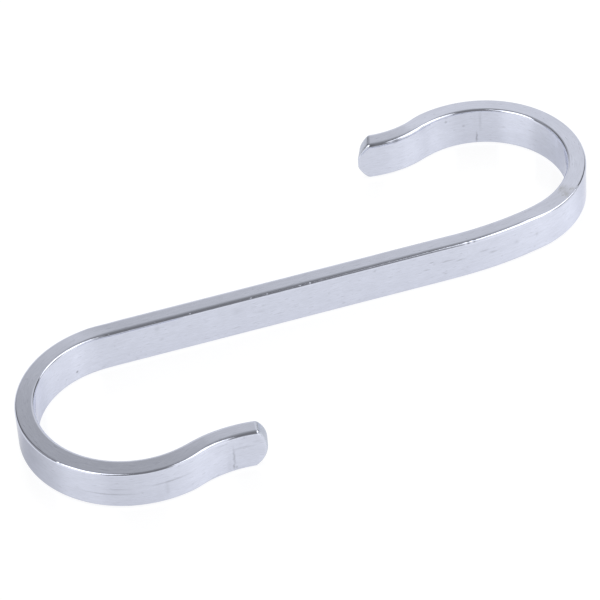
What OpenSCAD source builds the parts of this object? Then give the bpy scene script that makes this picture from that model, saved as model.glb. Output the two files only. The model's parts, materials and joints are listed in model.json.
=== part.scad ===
// S hook bent from one length of flat bar, lying on its edge
// The bar's width stands up along Z, and every bend is in the XY plane.

/* [Bar] */
// Width of the flat bar
bar_w = 8; // [6:0.5:12]
// Thickness of the flat bar
bar_t = 3.5; // [2.5:0.1:5]
// Radius of the bar's long edges
edge_r = 0.75; // [0.3:0.05:1.2]

/* [Shank] */
// Length of the straight shank between the two hooks
shank_l = 66; // [40:1:120]

/* [Right hook] */
// Inside radius of the long easy curve that leads the shank into the hook
lead_r = 64; // [40:1:120]
// Angle that the easy curve turns through
lead_turn = 14.8; // [8:0.2:24]
// Inside radius of the hook's bend
right_bend_r = 15.5; // [10:0.1:30]
// Angle that the bend turns through
right_bend_turn = 190.6; // [175:0.2:200]
// Inside radius of the flare that opens the mouth
right_flare_r = 15.2; // [12:0.2:30]
// Angle that the flare turns back through, up to the crown of the nose
right_flare_turn = 41.8; // [24:0.2:50]
// How far the crown of the nose sits above the middle of the bar's width
right_nose_shift = -0.4; // [-0.6:0.1:0.6]

/* [Left hook] */
// Inside radius of the hook's bend
left_bend_r = 16.3; // [10:0.1:30]
// Angle that the bend turns through
left_bend_turn = 201.6; // [185:0.2:212]
// Inside radius of the flare that opens the mouth
left_flare_r = 19.6; // [12:0.2:30]
// Angle that the flare turns back through, up to the crown of the nose
left_flare_turn = 36; // [24:0.2:50]
// How far the crown of the nose sits above the middle of the bar's width
left_nose_shift = 0.3; // [-0.6:0.1:0.6]

/* [Noses] */
// Length of a nose, from its further corner to its crown
nose_l = 2.35; // [1.2:0.05:2.6]
// Radius that breaks the edge between a nose and the bar's broad faces
nose_edge_r = 0.9; // [0.6:0.05:1.4]

/* [Hidden] */
$fn = 96;

// Heading of the bar, in degrees from +X, at the present place
$heading = 0;

// How far the nose's tool clears the bar's broad faces
nose_clear = 0.2;
// Bar left past the crown, for the nose to be cut from, and behind the nose
nose_spare = 0.9;

// Radii of the bar's middle line
lead_mid_r = lead_r + bar_t / 2;
right_mid_r = right_bend_r + bar_t / 2;
left_mid_r = left_bend_r + bar_t / 2;
right_flare_mid_r = right_flare_r + bar_t / 2;
left_flare_mid_r = left_flare_r + bar_t / 2;

// Centre of each hook's bend, seen from the middle of the shank
right_centre = aim(0) * shank_l / 2 + aim(90) * lead_mid_r
    + aim(lead_turn - 90) * (lead_mid_r - right_mid_r);
left_centre = aim(180) * shank_l / 2 + aim(-90) * left_mid_r;

// Middle of the hook's bounding box, seen from the middle of the shank
right_reach = right_mid_r + bar_t / 2;
left_reach = left_mid_r + bar_t / 2;
box_middle = (right_centre + left_centre
    + (right_reach - left_reach) * (aim(0) + aim(90))) / 2;

// Step of one length that points along a heading
function aim(heading) = [cos(heading), sin(heading), 0];

// Angle that a length of bar takes up on a bend
function arc_turn(length, mid_r) = length / mid_r * 180 / PI;

// Moves what follows by whole millimetres, then by ever finer steps, so
// that every digit of the place is kept and the bends meet exactly
module place(at, step = 1) {
    coarse = [for (v = at) floor(v / step) * step];
    translate(coarse)
        if (step > 1e-9) place(at - coarse, step / 1000) children();
        else children();
}

// Section of the bar: its thickness along x and its width along y
module bar_section() {
    translate([edge_r - bar_t / 2, 0]) square([bar_t - 2 * edge_r, bar_w]);
    translate([-bar_t / 2, edge_r]) square([bar_t, bar_w - 2 * edge_r]);
    for (side = [-1, 1], level = [edge_r, bar_w - edge_r])
        translate([side * (bar_t / 2 - edge_r), level]) circle(edge_r);
}

// Stretch of bar bent about the present place, its middle line at the
// given radius, from the given direction on
module arc(mid_r, from, turn) {
    rotate_extrude(start = from, angle = turn) translate([mid_r, 0]) bar_section();
}

// Bend to the left, or to the right where the turn is negative, with what
// follows it set at its end
module bend(mid_r, turn) {
    inward = $heading + 90 * sign(turn);
    $heading = $heading + turn;
    place(mid_r * aim(inward)) {
        arc(mid_r, (inward + 180) % 360, turn);
        place(mid_r * aim(inward + 180 + turn)) children();
    }
}

// Last bend, to the right, with the nose cut across its end
module flare(mid_r, turn, shift) {
    inward = $heading - 90;
    place(mid_r * aim(inward)) difference() {
        arc(mid_r, (inward + 180) % 360, -turn - arc_turn(nose_spare, mid_r));
        rotate([0, 0, inward + 180 - turn + arc_turn(nose_l / 2, mid_r)])
            translate([mid_r, 0, 0]) rotate([0, 0, -90]) nose_cut(shift);
    }
}

// What is cut away round a nose whose crown is half its length ahead along +X
module nose_cut(shift) {
    half_w = bar_w / 2 + abs(shift);
    radius = (half_w * half_w + nose_l * nose_l) / (2 * nose_l);
    difference() {
        translate([-nose_l / 2 - nose_spare, -bar_t, -bar_w / 2])
            cube([nose_l + 3 * nose_spare, 2 * bar_t, 2 * bar_w]);
        translate([nose_l / 2 - radius, 0, bar_w / 2 + shift])
            rotate([90, 0, 0]) nose_disc(radius);
    }
}

// Disc with a rounded rim, a little thicker than the bar
module nose_disc(radius) {
    half_t = bar_t / 2 + nose_clear;
    rotate_extrude() {
        translate([0, -half_t]) square([radius - nose_edge_r, 2 * half_t]);
        translate([0, nose_edge_r - half_t])
            square([radius, 2 * (half_t - nose_edge_r)]);
        for (side = [-1, 1])
            translate([radius - nose_edge_r, side * (half_t - nose_edge_r)])
                circle(nose_edge_r);
    }
}

module right_hook() {
    bend(lead_mid_r, lead_turn) bend(right_mid_r, right_bend_turn)
        flare(right_flare_mid_r, right_flare_turn, right_nose_shift);
}

module left_hook() {
    bend(left_mid_r, left_bend_turn)
        flare(left_flare_mid_r, left_flare_turn, left_nose_shift);
}

module shank() {
    translate([-shank_l / 2, 0, 0]) rotate([90, 0, 90])
        linear_extrude(shank_l) bar_section();
}

module hook() {
    color("silver") translate([-box_middle[0], -box_middle[1], 0]) {
        shank();
        translate([shank_l / 2, 0, 0]) right_hook();
        rotate([0, 0, 180]) translate([shank_l / 2, 0, 0]) left_hook();
    }
}

hook();
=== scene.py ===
import json
from math import asin, cos, degrees, pi, radians, sin

import bmesh
import bpy
from mathutils import Matrix, Vector

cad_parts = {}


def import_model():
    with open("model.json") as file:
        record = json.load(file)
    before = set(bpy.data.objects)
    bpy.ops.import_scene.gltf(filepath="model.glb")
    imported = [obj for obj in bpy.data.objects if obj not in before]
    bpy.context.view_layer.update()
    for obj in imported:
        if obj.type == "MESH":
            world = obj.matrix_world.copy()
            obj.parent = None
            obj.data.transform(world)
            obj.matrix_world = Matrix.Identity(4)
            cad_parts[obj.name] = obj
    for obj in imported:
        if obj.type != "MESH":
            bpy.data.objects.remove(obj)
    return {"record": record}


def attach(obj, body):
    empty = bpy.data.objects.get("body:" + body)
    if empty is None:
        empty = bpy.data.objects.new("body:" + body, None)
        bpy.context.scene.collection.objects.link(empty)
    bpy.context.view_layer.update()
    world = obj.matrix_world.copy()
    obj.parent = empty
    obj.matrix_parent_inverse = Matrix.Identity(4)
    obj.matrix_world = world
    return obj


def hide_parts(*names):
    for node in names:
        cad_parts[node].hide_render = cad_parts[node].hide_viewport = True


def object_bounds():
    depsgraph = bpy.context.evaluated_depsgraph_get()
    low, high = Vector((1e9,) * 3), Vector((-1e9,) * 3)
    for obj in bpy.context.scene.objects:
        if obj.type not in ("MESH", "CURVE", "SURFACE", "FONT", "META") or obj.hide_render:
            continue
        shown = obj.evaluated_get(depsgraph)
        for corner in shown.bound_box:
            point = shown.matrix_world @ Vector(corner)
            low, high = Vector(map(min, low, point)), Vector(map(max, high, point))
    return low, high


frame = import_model()
cad_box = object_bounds()

# S hook: one length of flat bar, cut to a round nose at both ends, bent
# into an S and chromed. The bar is drawn straight first, as its blank, and
# a node tree then bends it. In the blank, x runs along the bar from the
# middle of the shank, y through its thickness and z up its width.
# Sizes are in millimetres here, and MM turns them into metres.
MM = 0.001
MICRON = 1e-6

# The bar
THICKNESS = 3.5
WIDTH = (cad_box[1].z - cad_box[0].z) / MM
EDGE_R = 0.75
BEND_EDGE_R = {"outside": 0.45, "inside": 0.6}   # where a bend has drawn the edges tight

# How much the outside of a bend draws in, against its stretch. Each stretch of
# the path has its share of that, which comes on over some thicknesses of bar:
# the flares draw in half as much as the rest, and more gradually.
SPREAD = 0.35
FORMED = {"Lead": 1.0, "Bend": 1.0, "Flare": 0.5}
BLEND = {"Lead": 2.5, "Bend": 2.5, "Flare": 5.5}

# Noses: length from the further corner to the crown, how far the crown sits
# above the middle of the bar, how far it was cut back, and how far off square
NOSE_L = {"left": 2.35, "right": 2.0}
NOSE_SHIFT = {"left": 0.3, "right": -0.1}
NOSE_TRIM = {"left": 0.0, "right": 0.15}
NOSE_SKEW = {"left": 0.0, "right": 0.17}
SKEW_REACH = 12.0       # from the crown to where the skew has faded out
CORNER_R = 0.9          # where a nose meets the bar's edges
RIM_R = {"left": 0.8, "right": 0.1}     # at the crown
RIM_REACH = 2 / 3       # part of the nose over which its rim comes to the edges' radius

# Turns of each hook, in degrees, and inside radii that the frame doesn't give
TURNS = {
    "left": {"lead": 0.0, "bend": 201.6, "flare": 36.0},
    "right": {"lead": 14.8, "bend": 190.6, "flare": 41.8},
}
FLARE_R = {"left": 19.6, "right": 15.2}
LEAD_R = 64.0

# The camera, aimed at a point near the middle of the shank
AIM = Vector((-2.44, -1.03, 4.0)) * MM
CAMERA_AZIMUTH = -15.222
CAMERA_ELEVATION = 40.858
CAMERA_ROLL = -4.308
CAMERA_DISTANCE = 0.64932
LENS = 218.70
CLIP_START = 0.01


# ---------------------------------------------------------------- node trees

class Wire:
    """A node's output that takes part in sums as a number does."""

    def __init__(self, tree, socket):
        self.tree = tree
        self.socket = socket

    def output(self, name):
        """Another output of the same node."""
        return Wire(self.tree, self.socket.node.outputs[name])

    def __add__(self, other):
        return maths("ADD", self, other)

    def __sub__(self, other):
        return maths("SUBTRACT", self, other)

    def __rsub__(self, other):
        return maths("SUBTRACT", other, self)

    def __mul__(self, other):
        return maths("MULTIPLY", self, other)

    def __truediv__(self, other):
        return maths("DIVIDE", self, other)

    __radd__ = __add__
    __rmul__ = __mul__


def maths(operation, *values):
    """A sum on wires and numbers."""
    tree = next(value.tree for value in values if isinstance(value, Wire))
    return add(tree, "ShaderNodeMath", {"operation": operation}, dict(enumerate(values)))


def add(tree, kind, settings=None, sockets=None, out=0):
    """Adds a node with its settings and the values or wires of its sockets."""
    node = tree.nodes.new(kind)
    for name, value in (settings or {}).items():
        if name == "stops":
            set_stops(node.color_ramp, value)
        else:
            setattr(node, name, value)
    fill(node, sockets or {})
    return Wire(tree, node.outputs[out]) if node.outputs else node


def fill(node, sockets):
    """Gives a node's sockets their values, or wires them to other nodes."""
    for name, value in sockets.items():
        if isinstance(value, Wire):
            value.tree.links.new(value.socket, node.inputs[name])
        else:
            node.inputs[name].default_value = value


def set_stops(ramp, stops):
    while len(ramp.elements) > 1:
        ramp.elements.remove(ramp.elements[-1])
    for index, (place, colour) in enumerate(stops):
        stop = ramp.elements[0] if index == 0 else ramp.elements.new(place)
        stop.position = place
        stop.color = (*colour, 1)


def grey(level):
    return (level, level, level)


def parts(vector):
    """The x, y and z of a vector."""
    split = add(vector.tree, "ShaderNodeSeparateXYZ", {}, {0: vector})
    return [split.output(index) for index in range(3)]


def smooth(value, low, high, start=0.0, end=1.0):
    """Smooth step from start to end while the value goes from low to high."""
    return add(value.tree, "ShaderNodeMapRange", {"interpolation_type": "SMOOTHSTEP"},
               {"Value": value, "From Min": low, "From Max": high, "To Min": start, "To Max": end})


def smooth_at(value, place, width):
    """Smooth step from 0 to 1 around a place, over the given width."""
    return smooth(value, place - width / 2, place + width / 2)


def fading(first, *others):
    """1 where every distance given is 0, and less the further it is."""
    square = first * first
    for other in others:
        square = square + other * other
    return maths("EXPONENT", 0 - square)


# ------------------------------------------------------------ the bent path

def mount(name):
    """Place and inside radius of a bend, as the frame's record gives them."""
    found = next(m for m in frame["record"]["mounts"] if m["name"] == name)
    return Vector(found["pos_m"]), found["dims"]["r_mm"]


def hook_sizes(side):
    """Middle radius and turn of each stretch of one hook, from the shank out."""
    bend_r = mount(side + "_bend")[1]
    inside = {"lead": LEAD_R, "bend": bend_r, "flare": FLARE_R[side]}
    return {
        name: ((inside[name] + THICKNESS / 2) * MM, radians(TURNS[side][name]))
        for name in ("lead", "bend", "flare")
    }


def shank_ends():
    """Where the shank's middle line starts and ends along x, and its y. The
    left bend starts level with its own centre, and the right one after its
    lead."""
    left, right = mount("left_bend")[0], mount("right_bend")[0]
    lead_r, lead_turn = hook_sizes("right")["lead"]
    right_x = right.x - (lead_r - hook_sizes("right")["bend"][0]) * sin(lead_turn)
    return left.x, right_x, left.y + hook_sizes("left")["bend"][0]


def reach(side):
    """Length of the middle line from the middle of the shank to the crown."""
    left_x, right_x, _ = shank_ends()
    return (right_x - left_x) / 2 + sum(r * turn for r, turn in hook_sizes(side).values())


# ------------------------------------------------------------- the straight bar

NOSE_STEPS = 16
CORNER_STEPS = 6
NEAR_STEPS = 8
NEAR_STEP = 0.03        # millimetres: the edge's first step beside a nose, before they widen
SIDE_STEPS = 230
EDGE_STEPS = 8
NARROW_STEPS = 4        # across the narrow face
BROAD_STEPS = 10        # across each broad face
SUPPORT = 0.06          # width of the first and last of those, against an even one


def even(count):
    return [i / count for i in range(count + 1)]


def supported(count):
    """Even steps with a narrow one at each end, which keeps a flat face flat
    right up to its rounded edge."""
    return [0, SUPPORT / count] + even(count)[1:-1] + [1 - SUPPORT / count, 1]


def nose_shape(side, up):
    """Radius of a nose, how far its centre sits from the middle towards one
    edge of the bar, and the angle at which it meets that edge's corner."""
    shift = NOSE_SHIFT[side] * up
    radius = ((WIDTH / 2 + abs(shift)) ** 2 + NOSE_L[side] ** 2) / (2 * NOSE_L[side])
    return radius, shift, asin((WIDTH / 2 - CORNER_R - shift) / (radius - CORNER_R))


def inward(side, up, part, at, depth):
    """Outline point moved into the bar, square to the outline: x back from
    the crown, and z."""
    radius, shift, turn = nose_shape(side, up)
    if part == "edge":
        return at, WIDTH / 2 - depth
    if part == "corner":
        x = radius - (radius - CORNER_R) * cos(turn) - (CORNER_R - depth) * cos(at)
        return x, WIDTH / 2 - CORNER_R + (CORNER_R - depth) * sin(at)
    return radius - (radius - depth) * cos(at), shift + (radius - depth) * sin(at)


def half_outline(side, up):
    """Outline from a nose's crown to the middle of the bar, along one edge:
    lists of (side, up, part of the outline, place on it, edge radius, share
    of cut face)."""
    radius, _, turn = nose_shape(side, up)
    line = []
    for t in even(NOSE_STEPS):
        rim = RIM_R[side] + (EDGE_R - RIM_R[side]) * min(1, t / RIM_REACH)
        line.append((side, up, "nose", turn * t, rim, 1))
    for t in even(CORNER_STEPS)[1:]:
        line.append((side, up, "corner", turn + (pi / 2 - turn) * t, EDGE_R, 1 - t))
    start = radius - (radius - CORNER_R) * cos(turn)
    stop = reach(side) / MM - NOSE_TRIM[side]
    near = [start + NEAR_STEP * k * k for k in range(1, NEAR_STEPS)]
    line += [(side, up, "edge", x, EDGE_R, 0) for x in near]
    line += [(side, up, "edge", near[-1] + (stop - near[-1]) * t, EDGE_R, 0)
             for t in even(SIDE_STEPS)[1:]]
    return line


def bend_edges(side, x, edge_r):
    """Edge radii inside and outside the bend at x back from the crown. The
    change comes on over one thickness of bar at each end of the bend."""
    sizes = hook_sizes(side)
    flare, bend = (sizes[name][0] * sizes[name][1] / MM for name in ("flare", "bend"))
    after_flare = max(0, (x - flare) / THICKNESS + 0.5)
    before_end = max(0, (flare + bend - x) / THICKNESS + 0.5)
    share = min(1, after_flare, before_end)
    return [edge_r + (BEND_EDGE_R[name] - edge_r) * share for name in ("inside", "outside")]


def edge_profile(point):
    """The bar's narrow face and its two rounded edges at one outline point,
    from the face at +y to the face at -y, with its share of cut face."""
    side, up, part, at, edge_r, cut = point
    forward = 1 if side == "right" else -1
    half_t = THICKNESS / 2
    radii = bend_edges(side, at, edge_r)[::forward] if part == "edge" else (edge_r, edge_r)
    turns = [a * pi / 2 for a in even(EDGE_STEPS)]
    first, last = ([(r - r * sin(a), half_t - r + r * cos(a), cut * sin(a) ** 2) for a in turns]
                   for r in radii)
    flat = [(0, half_t - radii[0] - (THICKNESS - sum(radii)) * t, cut)
            for t in supported(NARROW_STEPS)[1:-1]]
    rows = []
    for depth, y, share in first + flat + [(d, -y, c) for d, y, c in last[::-1]]:
        x, z = inward(side, up, part, at, depth)
        skew = NOSE_SKEW[side] * y * max(0, 1 - x / SKEW_REACH)
        along = reach(side) / MM - NOSE_TRIM[side] - x + skew
        rows.append((Vector((forward * along, y, WIDTH / 2 + up * z)), share))
    return rows


def long_edge(up):
    """Profiles along the bar's upper or lower edge, from crown to crown."""
    left, right = half_outline("left", up), half_outline("right", up)
    return [edge_profile(point) for point in left + right[-2::-1]]


def between(first, last):
    """Rows that fill a broad face between two edges."""
    return [(first[0].lerp(last[0], t), 0) for t in supported(BROAD_STEPS)[1:-1]]


def blank_mesh():
    """The straight bar, as rings that run round it from nose to nose."""
    rings = []
    for over, under in zip(long_edge(1), long_edge(-1)):
        under = under[::-1]
        rings.append(over + between(over[-1], under[0]) + under + between(under[-1], over[0]))
    count = len(rings[0])
    faces = []
    for i in range(len(rings) - 1):
        for j in range(count):
            k = (j + 1) % count
            faces.append((i * count + j, i * count + k, (i + 1) * count + k, (i + 1) * count + j))
    mesh = bpy.data.meshes.new("blank")
    mesh.from_pydata([place * MM for ring in rings for place, _ in ring], [], faces)
    cut = mesh.attributes.new("cut", "FLOAT", "POINT")
    cut.data.foreach_set("value", [share for ring in rings for _, share in ring])
    return mesh


# ------------------------------------------------------------ bending the bar

def bend_group():
    """Node group with an input for each size of the path."""
    tree = bpy.data.node_groups.new("bend_bar", "GeometryNodeTree")
    tree.interface.new_socket("Geometry", in_out="INPUT", socket_type="NodeSocketGeometry")
    names = ["Half Shank", "Thickness", "Width", "Spread", "Middle X", "Middle Y"]
    names += [f"{side} {stretch} {what}" for side in ("Left", "Right")
              for stretch in FORMED for what in ("Radius", "Turn")]
    for name in names:
        tree.interface.new_socket(name, in_out="INPUT", socket_type="NodeSocketFloat")
    tree.interface.new_socket("Geometry", in_out="OUTPUT", socket_type="NodeSocketGeometry")
    entry = add(tree, "NodeGroupInput")
    return tree, {name: entry.output(name) for name in ["Geometry"] + names}


def of_side(given, is_left, name):
    """A size of the left hook or of the right one."""
    left, right = given["Left " + name], given["Right " + name]
    return right + (left - right) * is_left


def follow(given, is_left, along):
    """Where the middle line comes to at a length along it, the heading there
    and how sharply the bar is bent. Each stretch adds its own chord, worked
    out from how much of it lies before the point."""
    px = maths("MINIMUM", along, given["Half Shank"])
    py = 0 * along
    heading = 0 * along
    curve = 0 * along
    start = given["Half Shank"]
    blends = {stretch: given["Thickness"] * BLEND[stretch] for stretch in BLEND}
    following = {"Lead": "Bend", "Bend": "Flare"}
    for stretch, hand in (("Lead", 1), ("Bend", 1), ("Flare", -1)):
        radius = of_side(given, is_left, stretch + " Radius")
        turn = of_side(given, is_left, stretch + " Turn")
        swing = maths("MINIMUM", maths("MAXIMUM", (along - start) / radius, 0.0), turn) * hand
        after = heading + swing
        px = px + (maths("SINE", after) - maths("SINE", heading)) * radius * hand
        py = py + (maths("COSINE", heading) - maths("COSINE", after)) * radius * hand
        end = start + radius * turn
        inside = smooth_at(along, start, blends[stretch])
        if stretch in following:
            inside = inside - smooth_at(along, end, blends[following[stretch]])
        curve = curve + inside * hand * FORMED[stretch] / radius
        heading, start = after, end
    return px, py, heading, curve


def bend_tree(material):
    """Tree that bends the blank along the path and draws its section in."""
    tree, given = bend_group()
    place = add(tree, "GeometryNodeInputPosition")
    kept = add(tree, "GeometryNodeStoreNamedAttribute",
               {"data_type": "FLOAT_VECTOR", "domain": "POINT"},
               {"Geometry": given["Geometry"], "Name": "straight", "Value": place})
    x, y, z = parts(place)

    # The left hook is the right one's kind turned half round
    is_left = maths("LESS_THAN", x, 0.0)
    side = 1 - 2 * is_left
    across = y * side
    px, py, heading, curve = follow(given, is_left, x * side)
    px = px - across * maths("SINE", heading)
    py = py + across * maths("COSINE", heading)

    # The outside of a bend draws in, and its inside keeps the full width
    middle = given["Width"] * 0.5
    stretched = curve * across - maths("ABSOLUTE", curve) * given["Thickness"] * 0.5
    height = middle + (z - middle) * (1 + given["Spread"] * stretched)

    bent = add(tree, "ShaderNodeCombineXYZ", {},
               {"X": px * side + given["Middle X"], "Y": py * side + given["Middle Y"], "Z": height})
    moved = add(tree, "GeometryNodeSetPosition", {}, {"Geometry": kept, "Position": bent})
    real = add(tree, "GeometryNodeRealizeInstances", {}, {"Geometry": moved})
    done = add(tree, "GeometryNodeSetMaterial", {}, {"Geometry": real, "Material": material})
    add(tree, "NodeGroupOutput", {}, {0: done})
    return tree


def bend_values():
    """The sizes of the path, by the names of the tree's inputs."""
    left_x, right_x, y = shank_ends()
    values = {
        "Half Shank": (right_x - left_x) / 2,
        "Thickness": THICKNESS * MM,
        "Width": WIDTH * MM,
        "Spread": SPREAD,
        "Middle X": (right_x + left_x) / 2,
        "Middle Y": y,
    }
    for side in ("left", "right"):
        for stretch, (radius, turn) in hook_sizes(side).items():
            values[f"{side.title()} {stretch.title()} Radius"] = radius
            values[f"{side.title()} {stretch.title()} Turn"] = turn
    return values


def weld(mesh, touching=1e-7, no_length=1e-8):
    """Joins the rings' doubled points at the crowns and turns faces outward."""
    work = bmesh.new()
    work.from_mesh(mesh)
    bmesh.ops.remove_doubles(work, verts=work.verts, dist=touching)
    bmesh.ops.dissolve_degenerate(work, edges=work.edges, dist=no_length)
    bmesh.ops.recalc_face_normals(work, faces=work.faces)
    work.to_mesh(mesh)
    work.free()


def make_hook(material):
    """The bent bar, as one plain mesh in the place of the plain hook."""
    blank = blank_mesh()
    weld(blank)
    blank.shade_smooth()
    straight = bpy.data.objects.new("straight_bar", blank)
    bpy.context.scene.collection.objects.link(straight)
    bend = straight.modifiers.new("bend", "NODES")
    bend.node_group = bend_tree(material)
    values = bend_values()
    for item in bend.node_group.interface.items_tree:
        if item.in_out == "INPUT" and item.name in values:
            bend[item.identifier] = values[item.name]
    graph = bpy.context.evaluated_depsgraph_get()
    mesh = bpy.data.meshes.new_from_object(straight.evaluated_get(graph), depsgraph=graph)
    bpy.data.objects.remove(straight)
    hook = bpy.data.objects.new("bent_hook", mesh)
    bpy.context.scene.collection.objects.link(hook)
    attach(hook, "root")
    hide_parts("hook")
    return hook


# ------------------------------------------------------------------ materials

# The metal's colours, and the tint of its gloss
CHROME = (0.625, 0.65, 0.75)
CUT_METAL = (0.50, 0.53, 0.60)
SCUFF_METAL = (0.46, 0.465, 0.47)
GLOSS_TINT = (0.89, 0.9, 0.95)

# Noise in the metal: its size along the bar and across it, in millimetres,
# and how finely it is broken up
STREAKS = (9.0, 0.22, 3.0)
GRAIN = (1.1, 0.18, 2.0)
CLOUD = (3.0, 1.6, 2.0)
FLECKS = (1.5, 0.3, 3.0)
CUT_GRAIN = (0.5, 0.5, 3.0)
EDGE_WAVES = (0.9, 0.35, 3.0)
RAGGED_ALONG = (0.7, 0.5, 3.0)
RAGGED_UP = (0.9, 0.4, 3.0)
RAGGED_SCUFF = (0.6, 0.4, 4.0)
RAGGED_BY = {"along": 0.5, "up": 0.35, "scuff": 2.0}    # millimetres

# How far each lightens, darkens or roughens the metal, and ROUGHNESS alone
LIGHTER = {"streaks": 0.10, "grain": 0.14, "cloud": 0.12}
DARKER = {"pits": 0.07, "flecks": 0.7, "marks": 1.3}
ROUGHNESS = 0.07
ROUGHER = {"grain": 0.05, "cut": 0.25, "dirt": 0.3, "scuff": 0.2}

# Relief in metres
RELIEF = {"streaks": 0.5 * MICRON, "grain": 0.35 * MICRON, "cloud": 4 * MICRON,
          "pits": 2 * MICRON, "nicks": 14 * MICRON, "cut": 8 * MICRON, "edges": 14 * MICRON}

# Flecks: how much of the noise is left bare, and how they gather in the clouds
FLECK_BARE = 0.08
FLECKS_GATHER = 6

# Pits: the cells that they lie in, in millimetres, the largest pit and its soft
# rim, in parts of a cell, and the share of the cells that are bare
PIT_CELL = 2.2
PIT_SIZE = 0.12
PIT_RIM = 0.05
PIT_BARE = 0.55

# How far the marks of a face or an edge run into the bar, how deep the top
# face's scuffs go and how patchy they are, and how far below the top a nick
# sits and how tall it is
EDGE_REACH = 0.6
TOP_DEPTH = 0.5
SCUFF_PATCHY = 2
NICK_BELOW = 0.25
NICK_TALL = 0.4

# Dark marks on the broad faces, wear among them: place along the bar from the
# middle of the shank, height, how long, tall and dark the mark is, and the
# face (1 for the one at +y in the blank)
MARKS = [
    (-39.3, 2.2, 0.22, 0.22, 0.45, -1),     # dot inside the left hook
    (-23.2, 6.4, 0.5, 0.35, 0.10, -1),
    (-22.6, 3.8, 0.4, 0.3, 0.08, -1),
    (-8.5, 5.8, 0.9, 0.8, 0.06, -1),
    (-9.0, 2.0, 0.7, 0.12, 0.10, -1),
    (-4.3, 4.3, 1.2, 0.3, 0.07, -1),
    (17.3, 6.9, 0.3, 0.22, 0.16, -1),
    (28.0, 5.4, 0.35, 0.12, 0.2, -1),
    (27.0, 4.0, 0.7, 0.15, 0.12, -1),
    (31.0, 4.9, 1.1, 0.16, 0.18, -1),
    (33.4, 4.4, 0.7, 0.13, 0.16, -1),
    (38.0, 5.0, 0.8, 0.2, 0.15, -1),
    (39.8, 4.1, 0.8, 0.2, 0.17, -1),
    (44.4, 4.3, 0.45, 0.45, 0.09, -1),
    (48.6, 4.2, 0.3, 0.4, 0.1, -1),
    (95.0, 1.6, 0.18, 1.0, 0.30, 1),        # upright mark inside the right hook
    (94.2, 5.4, 0.3, 1.9, 0.09, 1),
    (97.7, 4.6, 0.3, 0.25, 0.15, 1),
    (101.6, 6.5, 0.25, 0.25, 0.22, 1),
    (112.9, 7.7, 0.9, 0.3, 0.45, 1),        # dirt along the upper edge by the right nose
    (117.3, 7.7, 0.35, 0.2, 0.3, 1),
    (-80.8, 3.1, 3.6, 0.14, 0.17, 1),       # streaks under the left hook
    (-82.6, 4.3, 1.6, 0.13, 0.13, 1),
    (-91.0, 4.6, 2.6, 0.17, 0.2, 1),
    (-90.4, 3.0, 0.35, 1.6, 0.07, 1),
    (-103.4, 3.5, 0.2, 1.8, 0.2, 1),        # bent mark by the left nose
    (-105.3, 5.2, 1.8, 0.16, 0.12, 1),
    (-103.2, 1.4, 0.2, 0.5, 0.26, 1),
    (-103.75, 1.1, 0.2, 0.3, 0.2, 1),
    (-102.4, 2.2, 0.5, 1.6, 0.05, 1),
    (-108.1, 6.0, 0.7, 0.3, 0.07, 1),
]

# Where the top face is scuffed dull: place along and across the bar, length,
# breadth and strength
SCUFFS = [(56.8, -0.6, 0.8, 0.8, 0.6), (57.8, 0.7, 0.9, 0.9, 0.5), (58.6, -1.0, 0.5, 0.4, 0.5)]

# Nicks in the upper edges: place along the bar, length, and the face
NICKS = [
    (-32.6, 0.5, -1), (-31.7, 0.3, -1), (-23.2, 0.3, -1), (-16.8, 0.25, -1), (-5.5, 0.3, -1),
    (-2.5, 0.3, -1), (3.7, 0.3, -1), (5.5, 0.25, -1), (34.9, 0.35, -1), (36.0, 0.35, -1),
    (115.9, 0.5, 1), (117.0, 0.25, 1), (118.0, 0.25, 1), (-71.5, 0.4, 1), (-73.0, 0.3, 1),
]


def noise(place, along, across, detail):
    """Cloudy noise from -0.5 to 0.5 that is drawn out along the bar. Its
    sizes are in millimetres."""
    tree = place.tree
    scale = (1 / (along * MM), 1 / (across * MM), 1 / (across * MM))
    drawn = add(tree, "ShaderNodeVectorMath", {"operation": "MULTIPLY"}, {0: place, 1: scale})
    cloud = add(tree, "ShaderNodeTexNoise", {}, {"Vector": drawn, "Scale": 1.0, "Detail": detail})
    return cloud - 0.5


def spot(x, z, at, height, length, tall):
    """Soft round or long spot: 1 in its middle and 0 well outside it."""
    return fading((x - at * MM) / (length * MM), (z - height * MM) / (tall * MM))


def near_face(y, face):
    """1 on a broad face and at its edges, and 0 further into the bar."""
    return fading((y - face * THICKNESS / 2 * MM) / (EDGE_REACH * MM))


def on_edges(y, z):
    """1 at the bar's long edges, and 0 on its faces."""
    deep = THICKNESS / 2 * MM - maths("ABSOLUTE", y)
    low = WIDTH / 2 * MM - maths("ABSOLUTE", z - WIDTH / 2 * MM)
    return fading(deep / (EDGE_REACH * MM), low / (EDGE_REACH * MM))


def wear(place, x, y, z):
    """How much darker the marks are, with their edges made ragged."""
    worn_x = x + noise(place, *RAGGED_ALONG) * (RAGGED_BY["along"] * MM)
    worn_z = z + noise(place, *RAGGED_UP) * (RAGGED_BY["up"] * MM)
    faces = {}
    for at, height, length, tall, dark, face in MARKS:
        mark = spot(worn_x, worn_z, at, height, length, tall) * (dark * DARKER["marks"])
        faces[face] = faces[face] + mark if face in faces else mark
    return faces[1] * near_face(y, 1) + faces[-1] * near_face(y, -1)


def scuffed(place, x, y, z):
    """How dull the scuffed parts of the top face are."""
    ragged = noise(place, *RAGGED_SCUFF)
    aside = ragged * (RAGGED_BY["scuff"] * MM)
    dull = 0 * x
    for at, across, length, breadth, strength in SCUFFS:
        dull = dull + strength * spot(x + aside, y - aside, at, across, length, breadth)
    return dull * (1 + SCUFF_PATCHY * ragged) * maths("GREATER_THAN", z, (WIDTH - TOP_DEPTH) * MM)


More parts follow.
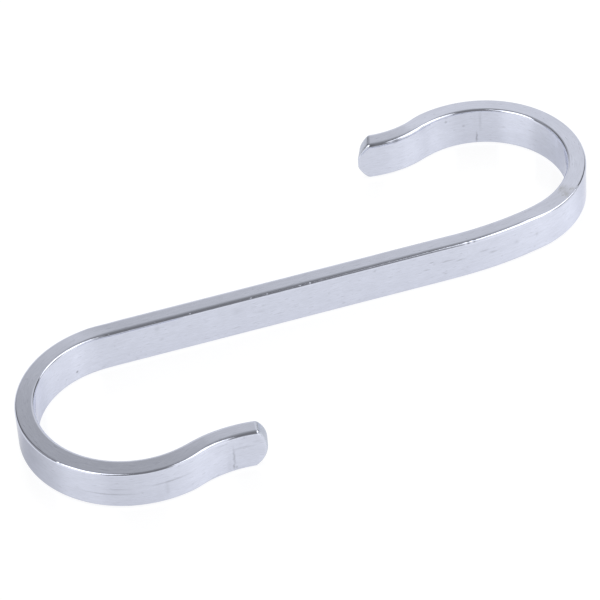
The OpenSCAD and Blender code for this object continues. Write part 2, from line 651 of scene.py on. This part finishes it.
def pits(place):
    """Small pits of uneven size, with most cells of the pattern left bare."""
    tree = place.tree
    near = add(tree, "ShaderNodeTexVoronoi", {}, {"Scale": 1 / (PIT_CELL * MM), "Vector": place})
    chance = add(tree, "ShaderNodeSeparateColor", {}, {"Color": near.output("Color")})
    size = PIT_SIZE * maths("MAXIMUM", chance - PIT_BARE, 0.0) / (1 - PIT_BARE)
    return 1 - smooth(near, size, size + PIT_RIM)


def nicks(x, y, z):
    """Small dents in the bar's upper edges."""
    dents = 0 * x
    for at, length, face in NICKS:
        dents = dents + spot(x, z, at, WIDTH - NICK_BELOW, length, NICK_TALL) * near_face(y, face)
    return dents


def flecks(place, cloud):
    """Fine dark flecks that gather where the clouds are thick."""
    bare = maths("MAXIMUM", noise(place, *FLECKS) - FLECK_BARE, 0.0)
    return maths("MAXIMUM", bare * (1 + FLECKS_GATHER * cloud), 0.0)


def mix(factor, one, other):
    """One colour where the factor is 0 and the other where it is 1."""
    return add(factor.tree, "ShaderNodeMix", {"data_type": "RGBA"},
               {"Factor": factor, "A": one, "B": other}, out=2)


def attribute(tree, name, output):
    return add(tree, "ShaderNodeAttribute", {"attribute_name": name}).output(output)


def new_paint(name):
    """A material, its tree and its shader."""
    material = bpy.data.materials.new(name)
    material.use_nodes = True
    tree = material.node_tree
    return material, tree, tree.nodes["Principled BSDF"]


def chrome():
    """Bright plate over drawn bar, with lengthwise grain, pits and wear, and
    rougher, darker metal on the cut ends."""
    material, tree, shader = new_paint("chrome")
    place = attribute(tree, "straight", "Vector")
    cut = attribute(tree, "cut", "Fac")
    x, y, z = parts(place)

    streaks = noise(place, *STREAKS)
    grain = noise(place, *GRAIN)
    cloud = noise(place, *CLOUD)
    holes = pits(place)
    dirt = (DARKER["pits"] * holes + DARKER["flecks"] * flecks(place, cloud)
            + wear(place, x, y, z))
    scuff = scuffed(place, x, y, z)

    bright = mix(scuff, (*CHROME, 1), (*SCUFF_METAL, 1))
    metal = mix(cut, bright, (*CUT_METAL, 1))
    level = (1 + LIGHTER["streaks"] * streaks + LIGHTER["grain"] * grain
             + LIGHTER["cloud"] * cloud - dirt)
    tint = add(tree, "ShaderNodeVectorMath", {"operation": "SCALE"}, {0: metal, "Scale": level})

    rough = (ROUGHNESS + ROUGHER["grain"] * (streaks + grain) + ROUGHER["cut"] * cut
             + ROUGHER["dirt"] * dirt + ROUGHER["scuff"] * scuff)

    height = (RELIEF["streaks"] * streaks + RELIEF["grain"] * grain + RELIEF["cloud"] * cloud
              - RELIEF["pits"] * holes - RELIEF["nicks"] * nicks(x, y, z)
              + RELIEF["cut"] * cut * noise(place, *CUT_GRAIN)
              + RELIEF["edges"] * on_edges(y, z) * noise(place, *EDGE_WAVES))
    relief = add(tree, "ShaderNodeBump", {}, {"Height": height, "Distance": 1.0, "Strength": 1.0})

    fill(shader, {"Base Color": tint, "Roughness": rough, "Normal": relief,
                  "Metallic": 1, "Specular Tint": (*GLOSS_TINT, 1)})
    return material


# --------------------------------------------------------------------- studio

# The floor, in parts of white: how much it glows by itself, to the camera and
# to the polished metal, and its paint
FLOOR_HALF = 4.0        # metres from its middle to its edges
FLOOR_GLOW = {"camera": 0.85, "glossy": 0.65}
FLOOR_PAINT = 0.95
FLOOR_ROUGHNESS = 0.3
AMBIENT = 0.62          # light from the white surroundings

# Painted light and shade: patches of the floor that the polished metal alone
# sees lighter or darker than the rest, to set the tone of the walls beside
# them: place and size in millimetres, and level
PAINTED_FLOOR_LIGHT_AND_SHADE = [
    (56.0, 4.0, 8.0, 0.1),
    (-61.0, -18.0, 9.0, -0.26),
    (-55.0, -36.0, 12.0, -0.14),
    (51.0, 25.0, 9.0, -0.13),
]

# The room round the hook, as polished metal sees it. Bearings and heights are
# in degrees from the hook, and levels are in parts of white.
ROOM_R = 6              # metres
DARK = 0.25
HAZE_TOP = 30           # where the glow above the floor has faded to DARK
CAMERA_BEARING = CAMERA_AZIMUTH - 90

# A white sweep stands opposite the camera, with its levels given by the angle
# to the left of its middle. They move over by SWEEP_LEAN with each degree of
# height, and the sweep fades overhead.
SWEEP_BEARING = CAMERA_BEARING + 180
SWEEP_LEVELS = [(-60, 0.8), (-8, 0.93), (0, 0.74), (12, 0.56), (24, 0.51)]
SWEEP_LEAN = 1.2
SWEEP_FADE = (50, 115)

# A dark flag stands on each side of the sweep and a white card on each side of
# the camera, with soft sides and ends
FLAG_ASIDE = 50
FLAG = {"half": 15, "bottom": 12, "top": 55, "level": 0.2}
CARD_ASIDE = 55
CARD = {"half": 20, "bottom": -30, "top": 55, "level": 1.1}
BOARDS = [(SWEEP_BEARING + FLAG_ASIDE, FLAG), (SWEEP_BEARING - FLAG_ASIDE, FLAG),
          (CAMERA_BEARING + CARD_ASIDE, CARD), (CAMERA_BEARING - CARD_ASIDE, CARD)]
SOFT_SIDES = 8
SOFT_ENDS = 10

# Two soft boxes at one distance, height and strength. Their sizes are parts of
# their distance, which is in metres.
BOX_DISTANCE = 2.0
BOX_ELEVATION = 52
BOX_LIGHT = 1.6
BOXES = {
    "right_box": {"bearing": CAMERA_BEARING + 92, "wide": 1.0, "high": 0.55},
    "left_box": {"bearing": CAMERA_BEARING - 55, "wide": 0.7, "high": 0.75},
}


def direction(azimuth, elevation):
    """Unit step towards a compass bearing (0 is +X, 90 is +Y) and a height."""
    a, e = radians(azimuth), radians(elevation)
    return Vector((cos(a) * cos(e), sin(a) * cos(e), sin(e)))


def stage_object(name, mesh, material):
    thing = bpy.data.objects.new(name, mesh)
    mesh.materials.append(material)
    bpy.context.scene.collection.objects.link(thing)
    return thing


def seen_by(tree, *kinds):
    """1 for the kinds of ray named, and 0 for the light that falls on things."""
    rays = add(tree, "ShaderNodeLightPath")
    seen = rays.output(f"Is {kinds[0]} Ray")
    for kind in kinds[1:]:
        seen = maths("MAXIMUM", seen, rays.output(f"Is {kind} Ray"))
    return seen


def object_place(tree):
    return add(tree, "ShaderNodeTexCoord").output("Object")


def floor():
    """White board that glows a little itself, so that shadows stay faint, with painted light and
    shade in patches that only the polished metal sees.
    """
    mesh = bpy.data.meshes.new("floor")
    corners = [(-1, -1), (1, -1), (1, 1), (-1, 1)]
    mesh.from_pydata([(x * FLOOR_HALF, y * FLOOR_HALF, 0) for x, y in corners], [], [(0, 1, 2, 3)])
    material, tree, paint = new_paint("white_board")
    glossy = seen_by(tree, "Glossy")
    glow = (FLOOR_GLOW["camera"] * seen_by(tree, "Camera", "Transmission")
            + FLOOR_GLOW["glossy"] * glossy)
    paint_colour = FLOOR_PAINT * (1 - glow)
    x, y, _ = parts(object_place(tree))
    # Painted light and shade: patches lighter or darker than the rest of the floor, seen only in the
    # polished metal's reflections
    for px, py, size, level in PAINTED_FLOOR_LIGHT_AND_SHADE:
        glow = glow + glossy * spot(x, y, px, py, size, size) * level
    fill(paint, {"Base Color": paint_colour, "Roughness": FLOOR_ROUGHNESS, "Specular IOR Level": 1,
                 "Emission Color": glow, "Emission Strength": 1})
    return stage_object("floor", mesh, material)


def turned(x, y, bearing):
    """Parts of a direction ahead of a bearing and to the left of it."""
    facing = direction(bearing, 0)
    return x * facing.x + y * facing.y, y * facing.x - x * facing.y


def angle_of(part, of):
    return maths("ARCTAN2", part, of) * degrees(1)


def slope_of(part):
    return maths("ARCSINE", part) * degrees(1)


def within(angle, low, high, soft):
    """1 between two angles and 0 beyond them, with soft ends."""
    return smooth_at(angle, low, soft) * (1 - smooth_at(angle, high, soft))


def on_board(x, y, z, bearing, board):
    """1 for directions that meet a flat upright board at a bearing."""
    ahead, aside = turned(x, y, bearing)
    across = within(angle_of(aside, ahead), -board["half"], board["half"], SOFT_SIDES)
    return across * within(angle_of(z, ahead), board["bottom"], board["top"], SOFT_ENDS)


def sweep_level(x, y, z):
    """White sweep behind the hook that runs on overhead and fades there."""
    ahead, aside = turned(x, y, SWEEP_BEARING)
    up = angle_of(z, ahead)
    left = slope_of(aside) + SWEEP_LEAN * (up - CAMERA_ELEVATION)
    low, high = SWEEP_LEVELS[0][0], SWEEP_LEVELS[-1][0]
    stops = [((angle - low) / (high - low), grey(level)) for angle, level in SWEEP_LEVELS]
    level = add(x.tree, "ShaderNodeValToRGB", {"stops": stops}, {0: (left - low) / (high - low)})
    return DARK + (level - DARK) * smooth(up, *SWEEP_FADE, start=1.0, end=0.0)


def room():
    """Walls and ceiling that only the polished metal sees."""
    mesh = bpy.data.meshes.new("room")
    work = bmesh.new()
    bmesh.ops.create_uvsphere(work, u_segments=64, v_segments=32, radius=ROOM_R)
    work.to_mesh(mesh)
    work.free()
    material = bpy.data.materials.new("room_paint")
    material.use_nodes = True
    tree = material.node_tree
    tree.nodes.clear()
    unit = add(tree, "ShaderNodeVectorMath", {"operation": "NORMALIZE"}, {0: object_place(tree)})
    x, y, z = parts(unit)
    haze = smooth(slope_of(z), 0.0, HAZE_TOP, start=1.0, end=DARK)
    level = maths("MAXIMUM", haze, sweep_level(x, y, z))
    for bearing, board in BOARDS:
        level = level + (board["level"] - level) * on_board(x, y, z, bearing, board)
    glow = add(tree, "ShaderNodeEmission", {}, {"Color": (1, 1, 1, 1), "Strength": level})
    add(tree, "ShaderNodeOutputMaterial", {}, {"Surface": glow})
    walls = stage_object("room", mesh, material)
    for ray in ("camera", "diffuse", "transmission", "volume_scatter", "shadow"):
        setattr(walls, "visible_" + ray, False)
    return walls


def placed(name, data, right, up, back, place):
    """Object with its own x, y and z turned to right, up and back."""
    thing = bpy.data.objects.new(name, data)
    thing.matrix_world = Matrix((right, up, back)).transposed().to_4x4()
    thing.location = place
    bpy.context.scene.collection.objects.link(thing)
    return thing


def soft_box(name, bearing, wide, high):
    """Rectangular lamp that faces the hook."""
    lamp = bpy.data.lights.new(name, "AREA")
    lamp.shape = "RECTANGLE"
    lamp.size, lamp.size_y = wide * BOX_DISTANCE, high * BOX_DISTANCE
    lamp.energy = BOX_LIGHT * pi * lamp.size * lamp.size_y
    ahead = -direction(bearing, BOX_ELEVATION)
    right = ahead.cross(Vector((0, 0, 1))).normalized()
    thing = placed(name, lamp, right, right.cross(ahead), -ahead, -ahead * BOX_DISTANCE)
    thing.visible_camera = False


def world():
    """White surroundings, with less light on things than they show."""
    sky = bpy.data.worlds.new("white")
    bpy.context.scene.world = sky
    sky.use_nodes = True
    tree = sky.node_tree
    tree.nodes.clear()
    level = AMBIENT + (1 - AMBIENT) * seen_by(tree, "Camera", "Glossy", "Transmission")
    light = add(tree, "ShaderNodeBackground", {}, {"Color": (1, 1, 1, 1), "Strength": level})
    add(tree, "ShaderNodeOutputWorld", {}, {"Surface": light})


def camera():
    back = direction(CAMERA_BEARING, CAMERA_ELEVATION)
    level_right = Vector((0, 0, 1)).cross(back).normalized()
    level_up = back.cross(level_right)
    roll = radians(CAMERA_ROLL)
    right = cos(roll) * level_right + sin(roll) * level_up
    up = cos(roll) * level_up - sin(roll) * level_right
    data = bpy.data.cameras.new("camera")
    data.lens = LENS
    data.clip_start = CLIP_START
    place = AIM + back * CAMERA_DISTANCE
    bpy.context.scene.camera = placed("camera", data, right, up, back, place)


bpy.context.scene.view_settings.view_transform = "Standard"
camera()
world()
floor()
room()
for box_name, box in BOXES.items():
    soft_box(box_name, **box)
make_hook(chrome())
